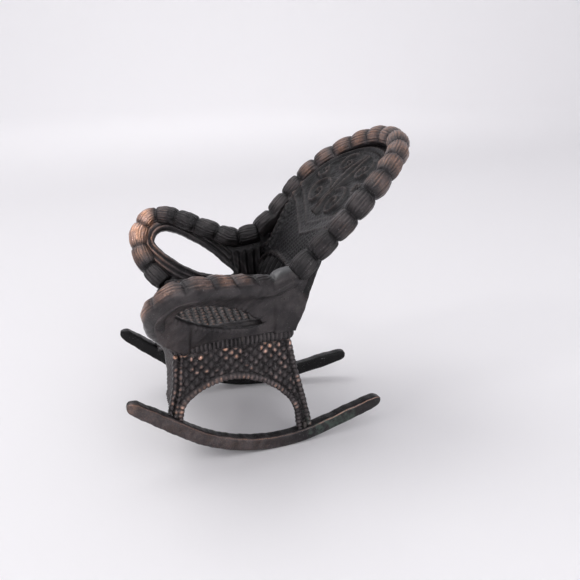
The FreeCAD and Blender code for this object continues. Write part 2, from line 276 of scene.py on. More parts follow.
class Sheet:
    """A cast wall: a flat outline cut out of a grid, with relief on both faces."""

    def __init__(self, outer, holes=(), step=0.28):
        self.loops = [np.asarray(outer, float)] + [np.asarray(h, float) for h in holes]
        low, high = self.loops[0].min(0) - step, self.loops[0].max(0) + step
        columns = int((high[0] - low[0]) / step) + 2
        rows = int((high[1] - low[1]) / step) + 2
        p = low[0] + step * np.arange(columns)
        q = low[1] + step * np.arange(rows)
        grid = np.stack(np.meshgrid(p, q, indexing="ij"), -1).reshape(-1, 2)
        signed = np.full(len(grid), 1e9)
        feet = np.zeros_like(grid)
        for k, loop in enumerate(self.loops):
            dist, foot, _ = nearest_on(loop, grid)
            within = inside(loop, grid)
            value = np.where(within == (k == 0), dist, -dist)
            closer = np.abs(value) < np.abs(signed)
            signed = np.where((value < 0) | (signed < 0), np.minimum(value, signed),
                              np.where(closer, value, signed))
            feet[closer] = foot[closer]
        index = np.arange(len(grid)).reshape(columns, rows)
        cells = np.stack([index[:-1, :-1], index[1:, :-1], index[1:, 1:], index[:-1, 1:]], -1)
        cells = cells.reshape(-1, 4)
        cells = cells[(signed[cells] > -0.5 * step).all(1)]
        directed = np.vstack([cells[:, [i, (i + 1) % 4]] for i in range(4)])
        size = len(grid)
        keys = directed[:, 0] * size + directed[:, 1]
        back_keys = directed[:, 1] * size + directed[:, 0]
        border = directed[~np.isin(keys, back_keys)]
        edge_points = np.unique(border)
        grid[edge_points] = feet[edge_points]
        used, renumber = np.unique(cells, return_inverse=True)
        self.cells = renumber.reshape(cells.shape)
        lookup = np.full(size, -1)
        lookup[used] = np.arange(len(used))
        self.border = lookup[border]
        self.flat = grid[used]

    def edge_distance(self, which):
        """Distance from one edge loop, and how far along that loop."""
        dist, _, along = nearest_on(self.loops[which], self.flat)
        return dist, along

    def build(self, name, front, back, wear, back_wear=None, green=None):
        count = len(self.flat)
        verts = np.vstack([front, back])
        walls = np.column_stack([self.border[:, 1], self.border[:, 0],
                                 self.border[:, 0] + count, self.border[:, 1] + count])
        faces = np.vstack([self.cells, self.cells[:, ::-1] + count, walls])
        back_wear = wear * 0.3 if back_wear is None else back_wear
        greens = None if green is None else np.concatenate([green, green])
        return make_object(name, verts, faces.tolist(), np.concatenate([wear, back_wear]), greens)


def ring_quads(rings, around):
    """Faces between each ring of points and the next."""
    i = np.arange(rings - 1)[:, None] * around
    j = np.arange(around)[None, :]
    k = (j + 1) % around
    return np.stack([i + j, i + k, i + around + k, i + around + j], -1).reshape(-1, 4).tolist()


def flat_ends(rings, around):
    """One flat face over the first ring and one over the last."""
    tail = (rings - 1) * around
    return [tuple(range(around)), tuple(range(tail + around - 1, tail - 1, -1))]


def tube(name, centre, crest, side, radius, wear, grey=None):
    """A closed tube: rings round `centre`, with angle 0 towards `crest` and 90 degrees towards `side`."""
    rings, around = radius.shape
    angle = np.linspace(0, 2 * math.pi, around, endpoint=False)
    verts = (centre[:, None, :]
             + radius[..., None] * (np.cos(angle)[None, :, None] * crest[:, None, :]
                                    + np.sin(angle)[None, :, None] * side[:, None, :]))
    verts = verts.reshape(-1, 3)
    first, last = len(verts), len(verts) + 1
    verts = np.vstack([verts, centre[:1], centre[-1:]])
    tail = (rings - 1) * around
    caps = [(first, int((m + 1) % around), m) for m in range(around)]
    caps += [(last, tail + m, tail + int((m + 1) % around)) for m in range(around)]
    wear = np.concatenate([wear.reshape(-1), [0, 0]])
    grey = None if grey is None else np.concatenate([grey.reshape(-1), [0, 0]])
    return make_object(name, verts, ring_quads(rings, around) + caps, wear, grey=grey)


def tangents(line):
    t = np.gradient(line, axis=0)
    return t / np.linalg.norm(t, axis=1)[:, None]


def unit(v):
    return v / np.linalg.norm(v, axis=-1, keepdims=True)


# ---------------------------------------------------------------- reliefs

def basket(p, q, pitch_p, pitch_q):
    """Over and under weave: height from 0 to 1."""
    i, j = np.floor(p / pitch_p), np.floor(q / pitch_q)
    u, v = p / pitch_p - i, q / pitch_q - j
    wave_u, wave_v = np.sin(math.pi * u), np.sin(math.pi * v)
    over_p = (i + j) % 2 < 0.5
    return np.where(over_p, wave_v ** 0.55 * (0.35 + 0.65 * wave_u),
                    wave_u ** 0.55 * (0.35 + 0.65 * wave_v))


def diagonal_weave(p, q, pitch):
    """Slanting over and under weave with a knot on each crossing: height from 0 to 1, and a
    repeatable value for each knot."""
    a, b = (p + q) / math.sqrt(2), (p - q) / math.sqrt(2)
    i, j = np.floor(a / pitch), np.floor(b / pitch)
    u, v = a / pitch - i - 0.5, b / pitch - j - 0.5
    knot = np.clip(1 - 4.5 * (u ** 2 + v ** 2), 0, 1) ** 0.8
    value = hash01(i, j)
    return np.clip(0.72 * basket(a, b, pitch, pitch) + 0.38 * knot * value, 0, 1.1), value


def beaded_line(distance, along, at, width, pitch):
    """A row of small beads along an edge: height from 0 to 1."""
    across = np.clip(1 - ((distance - at) / width) ** 2, 0, 1)
    return np.sqrt(across) * (0.45 + 0.55 * np.abs(np.sin(math.pi * along / pitch)) ** 0.8)


def ridge(distance, at, width):
    return np.exp(-((distance - at) / width) ** 2)


# ---------------------------------------------------------------- rockers

def rocker_line():
    """Middle line of the rocker, seen from the side: y and z."""
    radius = ROCKER_RADIUS - ROCKER_HEIGHT / 2
    front, rear = math.radians(ROCKER_FRONT_DEG), math.radians(ROCKER_REAR_DEG)
    front_run = (ROCKER_FRONT_Y - ROCKER_RADIUS * math.sin(front)) / math.cos(front)
    rear_run = (ROCKER_REAR_Y - ROCKER_RADIUS * math.sin(rear)) / math.cos(rear)

    def point(angle, run=0.0):
        return (radius * math.sin(angle) + run * math.cos(angle),
                ROCKER_RADIUS - radius * math.cos(angle) + run * math.sin(angle))

    angles = np.linspace(front, rear, 60)
    line = [point(front, front_run)] + [point(a) for a in angles] + [point(rear, rear_run)]
    return np.array(line)


def make_rocker(name, sign, node):
    line = resample(rocker_line(), 260)
    t = tangents(line)
    normal = np.stack([-t[:, 1], t[:, 0]], 1)
    run = np.linspace(0, line_length(line), len(line))
    total = run[-1]
    around = 48
    angle = np.linspace(0, 2 * math.pi, around, endpoint=False)
    # Rounded rectangle: a superellipse, with its corners crisper on top than below
    power = 5.0
    c, s = np.cos(angle), np.sin(angle)
    across = np.sign(c) * np.abs(c) ** (2 / power) * ROCKER_WIDTH / 2
    up = np.sign(s) * np.abs(s) ** (2 / power) * ROCKER_HEIGHT / 2
    end = np.minimum(run, total - run)
    rounding = np.sqrt(np.clip(1 - (1 - np.clip(end / ROCKER_TIP, 0, 1)) ** 2, 0.0, 1))
    rounding = rounding * (0.86 + 0.14 * ease(end, 0.0, ROCKER_TAPER))
    rng = np.random.default_rng(11 if sign > 0 else 12)
    dent = np.convolve(rng.normal(0, 1, len(run) + 20), np.ones(21) / 21, "valid") * 0.09
    seam = np.exp(-((run - total * 0.145) / 0.28) ** 2)
    lift = up[None, :] * rounding[:, None]
    wide = across[None, :] * (0.35 + 0.65 * rounding[:, None])
    wide = wide * (1 - 0.05 * seam[:, None] + 0.02 * dent[:, None])
    inner_edge = 0.12 * ridge(angle[None, :], math.radians(52), 0.22)
    lift = lift - inner_edge * (up[None, :] > 0)
    toe = math.radians(ROCKER_TOE_DEG)
    local_y = line[:, 0][:, None] + normal[:, 0][:, None] * lift
    z = line[:, 1][:, None] + normal[:, 1][:, None] * lift
    x = wide * np.cos(toe) - local_y * np.sin(toe) + ROCKER_X
    y = wide * np.sin(toe) + local_y * np.cos(toe)
    verts = np.stack([x, y, z], -1)
    share = run[:, None] / total
    top_edge = np.exp(-((angle[None, :] - math.radians(45)) / 0.16) ** 2)
    outer = np.clip(c, 0, 1)[None, :] ** 0.3
    wear = 0.21 * outer * (1 - 0.6 * ease(share, 0.5, 0.75))
    wear = wear + top_edge * (0.25 + 0.45 * ease(share, 0.68, 0.8)) + 0.12 * ease(share, 0.05, 0.0)
    green = outer * ease(share, 0.62, 0.72) * (1 - ease(share, 0.86, 0.93)) * 0.9
    if sign < 0:
        verts = mirror_points(verts)
        wear, green = wear * 0.35, green * 0.4
    # The curve is cut flat where it would reach below the floor, so that the chair rests on flats
    verts[..., 2] = np.maximum(verts[..., 2], FLOOR_Z)
    faces = ring_quads(len(run), around) + flat_ends(len(run), around)
    wear, green = (np.broadcast_to(values, x.shape).reshape(-1) for values in (wear, green))
    piece = make_object(name, verts.reshape(-1, 3), faces, wear, green)
    # The far rocker takes the slightly darker roll patina: painted shade for the far side of the chair.
    finish_piece(piece, node, PATINA if sign > 0 else ROLL_PATINA)


# ---------------------------------------------------------------- stand

def side_x(y, z):
    return SIDE_X_FRONT_TOP + SIDE_LEAN_Y * (y - SIDE_FRONT_EDGE[0][0]) + SIDE_LEAN_Z * (z - HEM_BOTTOM)


def rocker_top(y):
    """Height of the rocker's upper face under the stand."""
    return ROCKER_RADIUS - np.sqrt((ROCKER_RADIUS - ROCKER_HEIGHT) ** 2 - y ** 2)


def scalloped(line, pitch, depth):
    """The same line with a small bead every `pitch`, cut in between the beads."""
    t = tangents(line)
    run = np.linspace(0, line_length(line), len(line))
    dip = depth * (1 - np.abs(np.sin(math.pi * run / pitch)) ** 0.7)
    return line + np.stack([-t[:, 1], t[:, 0]], 1) * dip[:, None]


def side_outline():
    front = smooth_line(SIDE_FRONT_EDGE, 100)
    arch = smooth_line(SIDE_ARCH, 260)
    rear = smooth_line(SIDE_REAR_EDGE, 140)
    top = resample(np.array([rear[-1], front[0]]), 40)[1:-1]
    edges = []
    for line, pitch, depth in ((front, EDGE_BEAD_PITCH, 0.3), (arch, ARCH_BEAD_PITCH, 0.3),
                               (rear, EDGE_BEAD_PITCH, 0.35)):
        line = scalloped(line, pitch, depth)
        edges.append(line[line[:, 1] > rocker_top(line[:, 0]) - 0.3])
    return np.vstack(edges + [top])


def make_side(name, sign, node):
    sheet = Sheet(side_outline(), step=0.21)
    y, z = sheet.flat[:, 0], sheet.flat[:, 1]
    arch_gap, _, arch_run = nearest_on(smooth_line(SIDE_ARCH, 160), sheet.flat, closed=False)
    front_gap, _, front_run = nearest_on(smooth_line(SIDE_FRONT_EDGE, 60), sheet.flat, closed=False)
    rear_gap, _, rear_run = nearest_on(smooth_line(SIDE_REAR_EDGE, 60), sheet.flat, closed=False)
    knots, value = diagonal_weave(y, z, SIDE_WEAVE_PITCH)
    field = ease(arch_gap, 1.7, 2.3) * ease(front_gap, 2.4, 2.9) * ease(rear_gap, 1.6, 2.1)
    edge_beads = beaded_line(arch_gap, arch_run, 0.85, 0.95, 1.15)
    corner = beaded_line(front_gap, front_run, 0.7, 0.75, EDGE_BEAD_PITCH)
    corner = np.maximum(corner, beaded_line(front_gap, front_run + 0.75, 2.05, 0.6, EDGE_BEAD_PITCH))
    slots = ridge(front_gap, 1.4, 0.28) * np.abs(np.sin(math.pi * front_run / EDGE_BEAD_PITCH))
    rear_beads = beaded_line(rear_gap, rear_run, 0.75, 0.85, 1.4)
    relief = np.maximum.reduce([knots * field, edge_beads * (arch_gap < 1.9),
                                corner * (front_gap < 2.7), rear_beads * (rear_gap < 1.7)])
    depth = 0.85
    out = -depth + depth * relief - 0.5 * slots * (z > 14)
    top_row = ease(z, 28.2, 30.6)
    flecks = ease(hash01(np.floor(y / 2.6), np.floor(z / 2.6), 5) + 0.3 * value, 0.55, 1.1)
    wear = relief * 0.15 + relief ** 4 * 0.35 * flecks + top_row * knots ** 3 * 0.75 * flecks
    wear = wear + 0.14 * edge_beads * (arch_gap < 1.9) * ease(y, 4, -26)
    green = ease(y, 2.0, 7.0) * ease(z, 16, 8) * 0.7
    if sign < 0:
        wear = wear * 0.5
    outer = np.stack([side_x(y, z) + out, y, z], 1)
    inner = np.stack([side_x(y, z) - SKIRT_THICKNESS, y, z], 1)
    if sign < 0:
        outer, inner = mirror_points(outer), mirror_points(inner)
    finish_piece(sheet.build(name, outer, inner, wear, green=green), node, STAND_PATINA)


def make_end_skirt(name, edge, arch, forward, thickness, node):
    """Front or rear skirt, drawn flat as X and the distance up its edge line."""
    line = smooth_line(edge, 200)
    if line[0, 1] > line[-1, 1]:
        line = line[::-1]
    run = run_along(line)

    def at(u):
        return np.interp(u, run, line[:, 0]), np.interp(u, run, line[:, 1])

    def half_width(u):
        y, z = at(u)
        return side_x(y, z) - SKIRT_THICKNESS * 0.45

    arch_line = smooth_line(arch, 120)
    arch_u = np.interp(arch_line[:, 1], line[:, 1], run)
    foot_u = max(0.0, float(np.interp(rocker_top(line[0, 0]), line[:, 1], run)) - 0.2)
    keep = arch_u > foot_u + 0.05
    arch_flat = np.stack([arch_line[keep, 0], arch_u[keep]], 1)
    up = np.linspace(foot_u, run[-1], 60)
    right = np.stack([half_width(up), up], 1)
    left = np.stack([-half_width(up[::-1]), up[::-1]], 1)
    outer_loop = np.vstack([right, left, [[arch_flat[0, 0], foot_u]], arch_flat,
                            [[arch_flat[-1, 0], foot_u]]])
    sheet = Sheet(outer_loop, step=0.3)
    x, u = sheet.flat[:, 0], sheet.flat[:, 1]
    y, z = at(u)
    arch_gap, _, arch_run = nearest_on(arch_flat, sheet.flat, closed=False)
    side_gap = half_width(u) - np.abs(x)
    fibres = 0.5 + 0.5 * np.cos(2 * math.pi * x / FIBRE_PITCH)
    fibres = fibres * (0.6 + 0.4 * np.abs(np.sin(math.pi * (u / 1.6 + np.floor(x / FIBRE_PITCH) * 0.5))))
    edge_beads = beaded_line(arch_gap, arch_run, 0.8, 0.9, 1.2)
    relief = np.maximum(fibres * ease(arch_gap, 1.6, 2.1) * ease(side_gap, 0.6, 1.0),
                        edge_beads * (arch_gap < 1.8))
    out = -0.4 + 0.4 * relief
    slope_y, slope_z = np.gradient(line[:, 0], run), np.gradient(line[:, 1], run)
    ny, nz = np.interp(u, run, -slope_z), np.interp(u, run, slope_y)
    if not forward:
        ny, nz = -ny, -nz
    front_y, front_z = y + ny * out, z + nz * out
    back_y = y - ny * thickness
    back_z = z - nz * thickness
    wear = relief * 0.17 + ease(z, 29, 31) * 0.08
    front = np.stack([x, front_y, np.minimum(front_z, HEM_BOTTOM)], 1)
    behind = np.stack([x, back_y, np.minimum(back_z, HEM_BOTTOM)], 1)
    finish_piece(sheet.build(name, front, behind, wear), node, STAND_PATINA)


# ---------------------------------------------------------------- seat

def seat_plan(inset, corner, per_corner=10):
    """Rounded taper seen from above, as a closed line, starting at the right front corner."""
    corners = [(-HEM_HALF_FRONT + inset, HEM_FRONT_Y + inset), (HEM_HALF_FRONT - inset, HEM_FRONT_Y + inset),
               (HEM_HALF_REAR - inset, HEM_REAR_Y - inset), (-HEM_HALF_REAR + inset, HEM_REAR_Y - inset)]
    corners = np.array(corners)
    line = []
    for i in range(4):
        before, here, after = corners[i - 1], corners[i], corners[(i + 1) % 4]
        a, b = unit(before - here), unit(after - here)
        for t in np.linspace(0, 1, per_corner):
            line.append(here + a * corner * (1 - t) ** 2 + b * corner * t ** 2)
    line = np.array(line)
    return resample(np.vstack([line, line[:1]]), 900)[:-1]


def make_seat():
    plan = seat_plan(0, HEM_CORNER)
    run = run_along(plan)
    centre = plan.mean(0)
    inward = unit(centre - plan)
    flute = np.abs(np.sin(math.pi * run / HEM_FLUTE_PITCH)) ** 0.6
    # From the inside out: the hollow below, the fluted hem, and the raised pan that holds the cane
    recess = seat_plan(RECESS_INSET, SEAT_CORNER)
    rings = [np.column_stack([recess, np.full(len(recess), z)])
             for z in (HEM_BOTTOM + RECESS_DEPTH, HEM_BOTTOM)]
    wears = [np.zeros(len(plan))] * len(rings)
    for share in np.linspace(0, 1, 16):
        z = HEM_BOTTOM + share * (HEM_TOP - HEM_BOTTOM)
        band = math.sin(math.pi * share) ** 0.4
        depth = 0.75 - 0.7 * flute * band
        ring = plan + inward * depth[:, None]
        rings.append(np.column_stack([ring, np.full(len(ring), z)]))
        wears.append(0.16 * flute * band)
    pan_plan = seat_plan(SEAT_INSET, SEAT_CORNER)
    for inset, z in ((0.0, HEM_TOP), (0.0, SEAT_TOP - 0.5), (0.3, SEAT_TOP - 0.12), (0.7, SEAT_TOP),
                     (1.3, SEAT_TOP - 0.05), (1.6, SEAT_TOP - 1.0)):
        ring = pan_plan + unit(centre - pan_plan) * inset
        rings.append(np.column_stack([ring, np.full(len(ring), z)]))
        wears.append(np.full(len(ring), 0.1))
    around = len(plan)
    faces = ring_quads(len(rings), around) + flat_ends(len(rings), around)
    finish_piece(make_object("seat_hem", np.vstack(rings), faces, np.concatenate(wears)), "seat")


def make_cane():
    """The woven top of the seat."""
    sheet = Sheet(seat_plan(SEAT_INSET + 1.0, SEAT_CORNER)[::6], step=0.26)
    x, y = sheet.flat[:, 0], sheet.flat[:, 1]
    edge, _ = sheet.edge_distance(0)
    weave = basket(x, y, *CANE_PITCH)
    lift = 0.75 * weave * ease(edge, 0.2, 0.8)
    top = np.stack([x, y, SEAT_TOP - 0.75 + lift], 1)
    low = np.stack([x, y, np.full(len(x), SEAT_TOP - 1.1)], 1)
    cane = sheet.build("seat_cane", top, low, 0.1 + 0.25 * weave ** 3)
    # The cane takes the darkened patina: painted shade for the seat inside the chair.
    finish_piece(cane, material=PAINTED_SHADE_PATINA)


# ---------------------------------------------------------------- arms

def flare_at(y):
    return np.interp(y, [f[0] for f in ARM_FLARE], [f[1] for f in ARM_FLARE])


def arm_base_x(y):
    taper = (HEM_HALF_REAR - HEM_HALF_FRONT) / (HEM_REAR_Y - HEM_FRONT_Y)
    return ARM_BASE_X + taper * (y - HEM_FRONT_Y)


def arm_x(y, z):
    return arm_base_x(y) + (z - HEM_TOP) * flare_at(y)


def arm_normal(y):
    """Outward normal of the leaning wall."""
    f = flare_at(y)
    n = np.stack([np.ones_like(f), np.zeros_like(f), -f], -1)
    return unit(n)


def make_arm_wall(name, sign, node):
    edge = smooth_line(ARM_EDGE, 140)
    rear = smooth_line(ARM_REAR_EDGE, 20)
    low = resample(np.array([[ARM_EDGE[-1][0], HEM_TOP], [ARM_REAR_EDGE[0][0], HEM_TOP]]), 40)
    outer = np.vstack([edge, low, rear[1:]])
    opening = smooth_line(ARM_OPENING, 140, closed=True)[:-1]
    sheet = Sheet(outer, [opening], step=0.26)
    y, z = sheet.flat[:, 0], sheet.flat[:, 1]
    hole_gap, hole_run = sheet.edge_distance(1)
    edge_gap, _, _ = nearest_on(edge, sheet.flat, closed=False)
    normal = arm_normal(y)
    middle = np.stack([arm_x(y, z), y, z], 1)
    # Inner face: parallel ridges round the opening, and a thin lip at its edge
    ridges = ridge(hole_gap, 0.8, 0.38) + ridge(hole_gap, 2.2, 0.42) + 0.9 * ridge(hole_gap, 3.6, 0.45)
    band = ease(edge_gap, 1.6, 2.8)
    in_relief = 0.85 * ridges * band - 0.4
    lip = ease(hole_gap, 0.0, 0.7)
    gallery = ease(y, -5.6, -5.0) * ease(edge_gap, 4.0, 5.0) * ease(hole_gap, 0.6, 1.2)
    spindles = np.abs(np.sin(math.pi * y / 2.2)) ** 3
    in_relief = in_relief * (1 - gallery) + gallery * (0.9 * spindles - 0.4)
    inner = middle - normal * (ARM_HALF * (0.55 + 0.45 * lip) + in_relief)[:, None]
    # Outer face: smooth, flowing out of the rolled edge down to a brow over the opening, with
    # a bumpy lip and a thicker post at each end of the plain panel under the opening
    meet = 1.6
    under_roll = np.sqrt(ROLL_SMOOTH_R ** 2 - np.minimum(edge_gap, meet) ** 2) - ARM_HALF - 0.05
    swell = under_roll * np.exp(-0.36 * np.maximum(edge_gap - meet, 0))
    bumps = 0.16 * ridge(hole_gap, 0.35, 0.4) * np.sin(2 * math.pi * hole_run / 1.5)
    post = np.maximum(ease(-y, 23.4, 24.0), ease(y, -1.9, -1.3)) * ease(z, 46, 40)
    outer_face = middle + normal * (ARM_HALF * (0.7 + 0.3 * lip) + swell + bumps + 0.8 * post)[:, None]
    front = ease(y, -20, -29)
    wear_in = 0.42 * ridges * band * (0.2 + 0.9 * front) + 0.04
    wear_out = 0.13 + 0.05 * front
    if sign < 0:
        inner, outer_face = mirror_points(inner), mirror_points(outer_face)
    finish_piece(sheet.build(name, outer_face, inner, wear_out, wear_in), node)


def bead_radius(share, beads, weight):
    """Scallops along a rolled edge: full size between notches, narrow at each notch."""
    puff = np.abs(np.sin(math.pi * share * beads)) ** 0.62
    beaded = ROLL_VALLEY_R + (ROLL_BEAD_R - ROLL_VALLEY_R) * puff[:, None]
    return beaded * weight + ROLL_SMOOTH_R * (1 - weight)


def roll(name, line, crest, side, beads, copper, rib_weight, calm=None, around=108):
    """A beaded tube like wrapped cane. `calm` marks a stretch that is plain and grey instead."""
    share = np.linspace(0, 1, len(line))
    calm = np.zeros(len(line)) if calm is None else calm
    angle = np.linspace(0, 2 * math.pi, around, endpoint=False)
    degrees = (np.degrees(angle) + 180) % 360 - 180
    weight = rib_weight(degrees)[None, :]
    radius = bead_radius(share, beads, weight)
    bead_index = np.floor(share * beads)
    phase = np.sin(math.pi * share * beads)
    notch = np.exp(-(phase / 0.16) ** 2)[:, None]
    lot = hash01(bead_index, 3 * bead_index)[:, None]
    from_middle = (share * beads - bead_index)[:, None] - 0.5
    twist = 6.3 * lot + (0.5 + 1.4 * lot) * from_middle
    strands = 0.6 * np.cos(19 * angle[None, :] + twist) + 0.5 * np.cos(26 * angle[None, :] - 1.7 * twist)
    lively = weight * (1 - 0.85 * calm[:, None])
    radius = radius + 0.11 * strands * lively * (1 - notch) - 0.15 * lot * lively
    radius = radius - 0.28 * notch * weight
    worn = copper(share)[:, None] * lively * (0.8 + 0.25 * strands) * (0.3 + 0.7 * np.abs(phase)[:, None])
    worn = worn * (0.6 + 0.8 * lot) + 0.13 * (1 - weight)
    centre = line - ROLL_INSET * crest
    grey = np.broadcast_to(calm[:, None] * weight, radius.shape)
    return tube(name, centre, crest, side, radius, worn, grey=grey)


def arm_scallops(degrees):
    """1 on the crest and the inner side, where the beads are full, and 0 on the smooth outside."""
    outside = ease(-degrees, 5, 50) * (degrees < 0)
    behind = ease(degrees, 140, 175)
    return np.clip(1 - outside - behind, 0, 1)


def make_arm_roll(name, sign):
    flat = smooth_line(ARM_EDGE, ARM_BEADS * 30)
    y, z = flat[:, 0], flat[:, 1]
    line = np.stack([arm_x(y, z) - ARM_ROLL_TUCK, y, z], 1)
    t = tangents(line)
    normal = arm_normal(y)
    crest = unit(np.cross(t, normal))
    middle = line.mean(0)
    if ((line - middle) * crest).sum(1).mean() < 0:
        crest = -crest
    side = unit((normal * t).sum(1)[:, None] * t - normal)

    def copper(share):
        scroll = 0.85 * np.exp(-((share - 0.70) / 0.13) ** 2)
        top = 0.6 * np.exp(-((share - 0.38) / 0.11) ** 2)
        return 0.14 + (0.45 * scroll + top if sign > 0 else scroll)

    share = np.linspace(0, 1, len(line))
    calm = ease(share, 0.16, 0.11) * (sign > 0)
    if sign < 0:
        line, crest, side = mirror_points(line), mirror_points(crest), mirror_points(side)
    piece = roll(name, line, crest, side, ARM_BEADS, copper, arm_scallops, calm)
    finish_piece(piece, material=ROLL_PATINA)


# ---------------------------------------------------------------- back

def make_back_panel():
    line = smooth_line(BACK_PROFILE, 400)
    run = run_along(line)
    rim_u = []
    for _, y, z in list(BACK_RIM) + [BACK_RIM_TOP]:
        gap = np.linalg.norm(line - np.array([y, z]), axis=1)
        rim_u.append(run[gap.argmin()])
    left = [(p[0], u) for p, u in zip(BACK_RIM, rim_u)]
    top = (0.0, rim_u[-1])
    edge = smooth_line(left + [top] + [(-a, b) for a, b in reversed(left)], 260)
    foot_u = float(np.interp(HEM_TOP, line[:, 1], run))
    foot = HEM_HALF_REAR - 0.4
    outline = np.vstack([edge, [[-foot, foot_u]], [[foot, foot_u]]])
    outline = resample(np.vstack([outline, outline[:1]]), 420)[:-1]
    sheet = Sheet(outline, step=0.27)
    x, u = sheet.flat[:, 0], sheet.flat[:, 1]
    edge_gap, _, _ = nearest_on(edge, sheet.flat, closed=False)
    y, z = np.interp(u, run, line[:, 0]), np.interp(u, run, line[:, 1])
    ty, tz = (np.interp(u, run, np.gradient(line[:, k], run)) for k in range(2))
    normal = unit(np.stack([np.zeros_like(x), tz, -ty], 1))
    middle = np.stack([x, y, z], 1)
    dish = 1.8 * (1 - (x / 23.0) ** 2)
    middle = middle + normal * dish[:, None] * ease(u, foot_u + 4, foot_u + 16)[:, None]
    relief, wear, cane_field = back_relief(x, u, edge_gap, foot_u)
    front = middle - normal * (BACK_HALF + relief)[:, None]
    weave = basket(x, u, BACK_WEAVE_PITCH, BACK_WEAVE_PITCH) * ease(edge_gap, 1.5, 3.0)
    behind = middle + normal * (BACK_HALF - 0.3 + 0.35 * weave)[:, None]
    piece = sheet.build("back_panel", front, behind, wear, 0.16 + 0.2 * weave ** 3, green=0.35 * cane_field)
    # The back panel takes the darkened patina: painted shade for the back inside the chair.
    finish_piece(piece, "back", PAINTED_SHADE_PATINA)


def curl(x, u, cx, cu, size, turns, flip):
    """Distance from a spiral curl, whose eye is at (cx, cu)."""
    angle = np.linspace(0, turns * 2 * math.pi, 120)
    radius = size * (0.12 + 0.88 * angle / angle[-1])
    line = np.stack([cx + flip * radius * np.cos(angle), cu + radius * np.sin(angle)], 1)
    dist, _, _ = nearest_on(line, np.stack([x, u], 1), closed=False)
    return dist


def back_relief(x, u, edge_gap, foot_u):
    """Cast ornament on the sitter's side of the back."""
    v = u - foot_u
    # Raised border that follows the rim, in two lines
    relief = 0.8 * ridge(edge_gap, 4.6, 0.6) + 0.6 * ridge(edge_gap, 6.4, 0.5)
    # Scrollwork in the upper middle: pairs of curls on two wavy stems
    scrolls = np.full(len(x), 1e3)
    for flip in (-1, 1):
        for cx, cv, size, turns in ((7.0, 33.5, 5.4, 1.4), (6.0, 45.0, 4.0, 1.25), (13.6, 40.0, 3.2, 1.1)):
            scrolls = np.minimum(scrolls, curl(x, u, flip * cx, foot_u + cv, size, turns, flip))
    stem = np.abs(np.abs(x) - 1.3 - 0.7 * np.sin(v / 3.0))
    stem = np.where((v > 28) & (v < 50), stem, 1e3)
    scrolls = np.minimum(scrolls, stem)
    field = ease(edge_gap, 6.2, 7.2) * ease(v, 27.0, 28.5)
    relief = relief + 1.0 * ridge(scrolls, 0, 0.62) * field
    # Slanting bands below it, forming a V that opens upwards
    vee = ridge(v - 21.0 - 0.42 * np.abs(x), 0, 0.6) + ridge(v - 24.5 - 0.42 * np.abs(x), 0, 0.6)
    relief = relief + 0.42 * vee * ease(edge_gap, 3.5, 4.5)
    # Cane between the bands and the gallery
    cane = basket(x + v, x - v, 1.9, 1.9)
    cane_field = ease(21.0 + 0.42 * np.abs(x) - v, 0.6, 1.4) * ease(edge_gap, 2.6, 3.6)
    relief = relief + 0.4 * cane * cane_field + 0.12 * cane * (1 - cane_field)
    # Arched gallery of upright spindles at the bottom
    arch_height = 11.5 * np.clip(1 - (x / 20.5) ** 4, 0, 1) ** 0.5
    gallery = ease(arch_height - v, 0.2, 0.8)
    rim_line = ridge(v - arch_height, 0.5, 0.7)
    spindles = np.abs(np.sin(math.pi * x / 3.3)) ** 4
    relief = relief * (1 - gallery) - gallery * (1.0 - 1.5 * spindles) + 0.6 * rim_line
    wear = 0.08 + 0.14 * ridge(scrolls, 0, 0.5) * field + 0.14 * ridge(edge_gap, 4.4, 0.5)
    wear = wear + 0.10 * vee + 0.10 * rim_line - 0.08 * gallery * (1 - spindles)
    return relief, wear, cane_field * (1 - gallery)


def make_back_roll():
    left = [tuple(p) for p in BACK_RIM]
    right = [(-x, y, z) for x, y, z in reversed(left)]
    line = smooth_line(left + [BACK_RIM_TOP] + right, BACK_BEADS * 30)
    t = tangents(line)
    # The crest points away from the middle of the back, within the back's own plane
    centre = np.array([0, np.mean([p[1] for p in BACK_RIM]), np.mean([p[2] for p in BACK_RIM])])
    crest = line - centre
    crest = unit(crest - (crest * t).sum(1)[:, None] * t)
    side = unit(np.cross(t, crest))
    if side[:, 1].mean() >= 0:
        side = -side

    def copper(share):
        return 0.2 + 0.38 * np.exp(-((share - 0.55) / 0.25) ** 2)

    def weight(degrees):
        return np.clip(1 - 0.9 * ease(-degrees, 85, 140) * (degrees < 0) - ease(degrees, 150, 178), 0, 1)

    piece = roll("back_roll", line, crest, side, BACK_BEADS, copper, weight)
    finish_piece(piece, material=ROLL_PATINA)


# ---------------------------------------------------------------- materials

PALE_COPPER = (0.56, 0.36, 0.29)
BARE_GREY = (0.11, 0.11, 0.112)
DUST = (0.42, 0.42, 0.42)
VERDIGRIS = (0.05, 0.082, 0.064)


